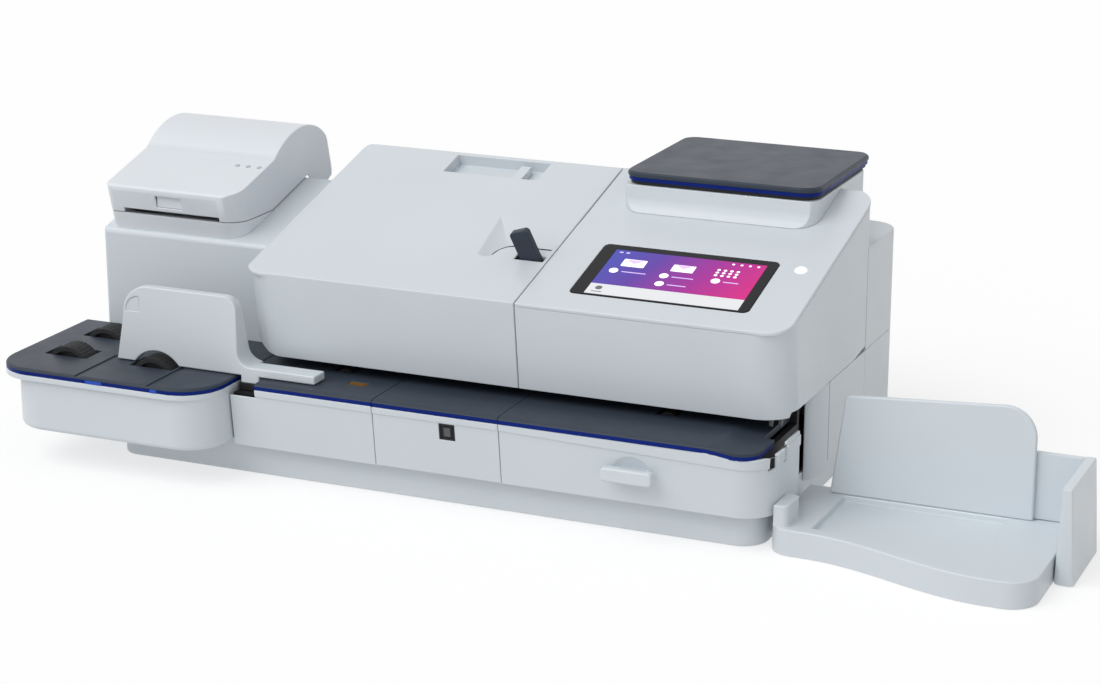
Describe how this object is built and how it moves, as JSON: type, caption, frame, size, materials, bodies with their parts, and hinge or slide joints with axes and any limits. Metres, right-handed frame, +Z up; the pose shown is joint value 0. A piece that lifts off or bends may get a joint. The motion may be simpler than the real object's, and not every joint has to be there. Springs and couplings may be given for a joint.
{
  "type": "mailing machine",
  "caption": "Desk mailing machine: envelope feeder, sloped covers with touch screen, weighing plate, label printer and output stacker, with working lid, drawer, guide and rollers.",
  "frame": {"origin": "on the table, on the flat base of the plinth, under the seam between the two upper covers", "axes": "+X along the mail path from the feeder to the stacker, +Y to the rear, +Z up"},
  "size_m": [1.1, 0.482, 0.3045],
  "materials": {
    "white_plastic": "satin moulded",
    "printer_plastic": "satin moulded",
    "slate_plastic": "fine grain",
    "blue_trim": "glossy",
    "black_plastic": "matte",
    "black_rubber": "matte",
    "steel": "ground",
    "tank_plastic": "translucent moulded",
    "dark_window": "glossy",
    "amber_lens": "glossy",
    "lamp_lens": "glossy",
    "spindle_plastic": "matte",
    "paper": "matte",
    "black_glass": "polished",
    "screen_glass": "lit display",
    "button_lens": "lit lens"
  },
  "bodies": {
    "machine": {"plinth": "white_plastic", "base_pads": "black_rubber", "chassis": "black_plastic", "left_panel": "white_plastic", "right_panel": "white_plastic", "deck_left": "slate_plastic", "deck_mid": "slate_plastic", "deck_right": "slate_plastic", "trim_left": "blue_trim", "trim_mid": "blue_trim", "trim_right": "blue_trim", "feed_sensor": "amber_lens", "exit_wall": "white_plastic", "side_wall": "white_plastic", "exit_fins": "black_plastic", "feeder_pan": "white_plastic", "feeder_deck": "slate_plastic", "feeder_trim": "blue_trim", "feed_bearings": "black_plastic", "tower": "white_plastic", "printer_base": "printer_plastic", "lid_hinge_rod": "steel", "display_top": "white_plastic", "right_front": "white_plastic", "bezel": "black_glass", "screen": "screen_glass", "scale_pedestal": "white_plastic", "load_cell": "steel", "rear_housing": "white_plastic", "power_inlet": "black_plastic", "stacker_base": "white_plastic", "stacker_back": "white_plastic"},
    "tank_drawer": {"tank_front": "white_plastic", "tank": "tank_plastic", "level_window": "dark_window"},
    "pull_handle": {"pull_bar": "white_plastic"},
    "carriage": {"roller_carriage": "black_plastic"},
    "drive_roller_unit": {"drive_roller": "black_rubber"},
    "exit_roller_unit": {"exit_roller": "black_rubber"},
    "feed_left": {"feed_shaft_left": "steel", "feed_wheels_left": "black_rubber"},
    "feed_right": {"feed_shaft_right": "steel", "feed_wheels_right": "black_rubber"},
    "guide": {"side_guide": "white_plastic", "guide_foot": "black_plastic"},
    "lid": {"left_lid": "white_plastic", "lever_pin": "steel"},
    "lid_catch": {"lid_latch": "white_plastic"},
    "lever": {"release_lever": "slate_plastic"},
    "platform": {"scale_tray": "black_plastic", "scale_band": "blue_trim", "scale_plate": "slate_plastic"},
    "button": {"power_button": "button_lens"},
    "end_stop": {"stacker_end": "white_plastic"},
    "label_lid": {"printer_lid": "printer_plastic", "printer_lamps": "lamp_lens"},
    "label_catch": {"printer_latch": "printer_plastic"},
    "platen": {"platen_roller": "black_rubber"},
    "label_reel": {"label_spindle": "spindle_plastic", "label_roll": "paper"}
  },
  "joints": [
    {"name": "tank_slide", "type": "slide", "parent": "machine", "child": "tank_drawer", "axis": [0, -1, 0], "range_m": [0, 0.1]},
    {"name": "handle_pull", "type": "slide", "parent": "machine", "child": "pull_handle", "axis": [0, -1, 0], "range_m": [0, 0.015]},
    {"name": "carriage_drop", "type": "slide", "parent": "machine", "child": "carriage", "axis": [0, 0, -1], "range_m": [0, 0.008]},
    {"name": "feed_left_spin", "type": "hinge", "parent": "machine", "child": "feed_left", "pos_m": [-0.487, -0.15, 0.087], "axis": [0, 1, 0], "continuous": true},
    {"name": "feed_right_spin", "type": "hinge", "parent": "machine", "child": "feed_right", "pos_m": [-0.385, -0.15, 0.087], "axis": [0, 1, 0], "continuous": true},
    {"name": "drive_spin", "type": "hinge", "parent": "machine", "child": "drive_roller_unit", "pos_m": [-0.2, -0.115, 0.0938], "axis": [0, 1, 0], "continuous": true},
    {"name": "exit_spin", "type": "hinge", "parent": "machine", "child": "exit_roller_unit", "pos_m": [0.15, -0.115, 0.0938], "axis": [0, 1, 0], "continuous": true},
    {"name": "guide_slide", "type": "slide", "parent": "machine", "child": "guide", "axis": [0, 1, 0], "range_m": [-0.045, 0.01]},
    {"name": "lid_hinge", "type": "hinge", "parent": "machine", "child": "lid", "pos_m": [-0.15, 0.107, 0.246], "axis": [-1, 0, 0], "range_deg": [0, 60]},
    {"name": "lid_catch_slide", "type": "slide", "parent": "lid", "child": "lid_catch", "axis": [0, 0.9659, 0.2588], "range_m": [0, 0.004], "stiffness_N_per_m": 300},
    {"name": "lever_swing", "type": "hinge", "parent": "lid", "child": "lever", "pos_m": [-0.014, -0.07286, 0.21543], "axis": [0, 0.9659, 0.2588], "range_deg": [-12, 12]},
    {"name": "platform_press", "type": "slide", "parent": "machine", "child": "platform", "axis": [0, 0, -1], "range_m": [0, 0.0009], "stiffness_N_per_m": 30000, "springref_m": -0.0003},
    {"name": "button_press", "type": "slide", "parent": "machine", "child": "button", "axis": [0, 0.2588, -0.9659], "range_m": [0, 0.0012], "stiffness_N_per_m": 600, "springref_m": -0.0005},
    {"name": "end_stop_slide", "type": "slide", "parent": "machine", "child": "end_stop", "axis": [1, 0, 0], "range_m": [0, 0.05]},
    {"name": "label_lid_hinge", "type": "hinge", "parent": "machine", "child": "label_lid", "pos_m": [-0.428, 0.10915, 0.27394], "axis": [-1, 0, 0], "range_deg": [0, 70]},
    {"name": "label_catch_press", "type": "slide", "parent": "label_lid", "child": "label_catch", "axis": [0, 0.9659, 0.2588], "range_m": [0, 0.002], "stiffness_N_per_m": 300},
    {"name": "platen_spin", "type": "hinge", "parent": "machine", "child": "platen", "pos_m": [-0.428, -0.06267, 0.23515], "axis": [1, 0, 0], "continuous": true},
    {"name": "label_reel_spin", "type": "hinge", "parent": "machine", "child": "label_reel", "pos_m": [-0.428, 0.0466, 0.27168], "axis": [1, 0, 0], "continuous": true}
  ],
  "couplings": [
    {"joint": "carriage_drop", "follows": "handle_pull", "ratio": 0.53333},
    {"joint": "feed_right_spin", "follows": "feed_left_spin", "ratio": 1},
    {"joint": "drive_spin", "follows": "feed_left_spin", "ratio": 2.3636},
    {"joint": "exit_spin", "follows": "feed_left_spin", "ratio": 2.3636},
    {"joint": "platen_spin", "follows": "label_reel_spin", "ratio": 4.1818}
  ]
}
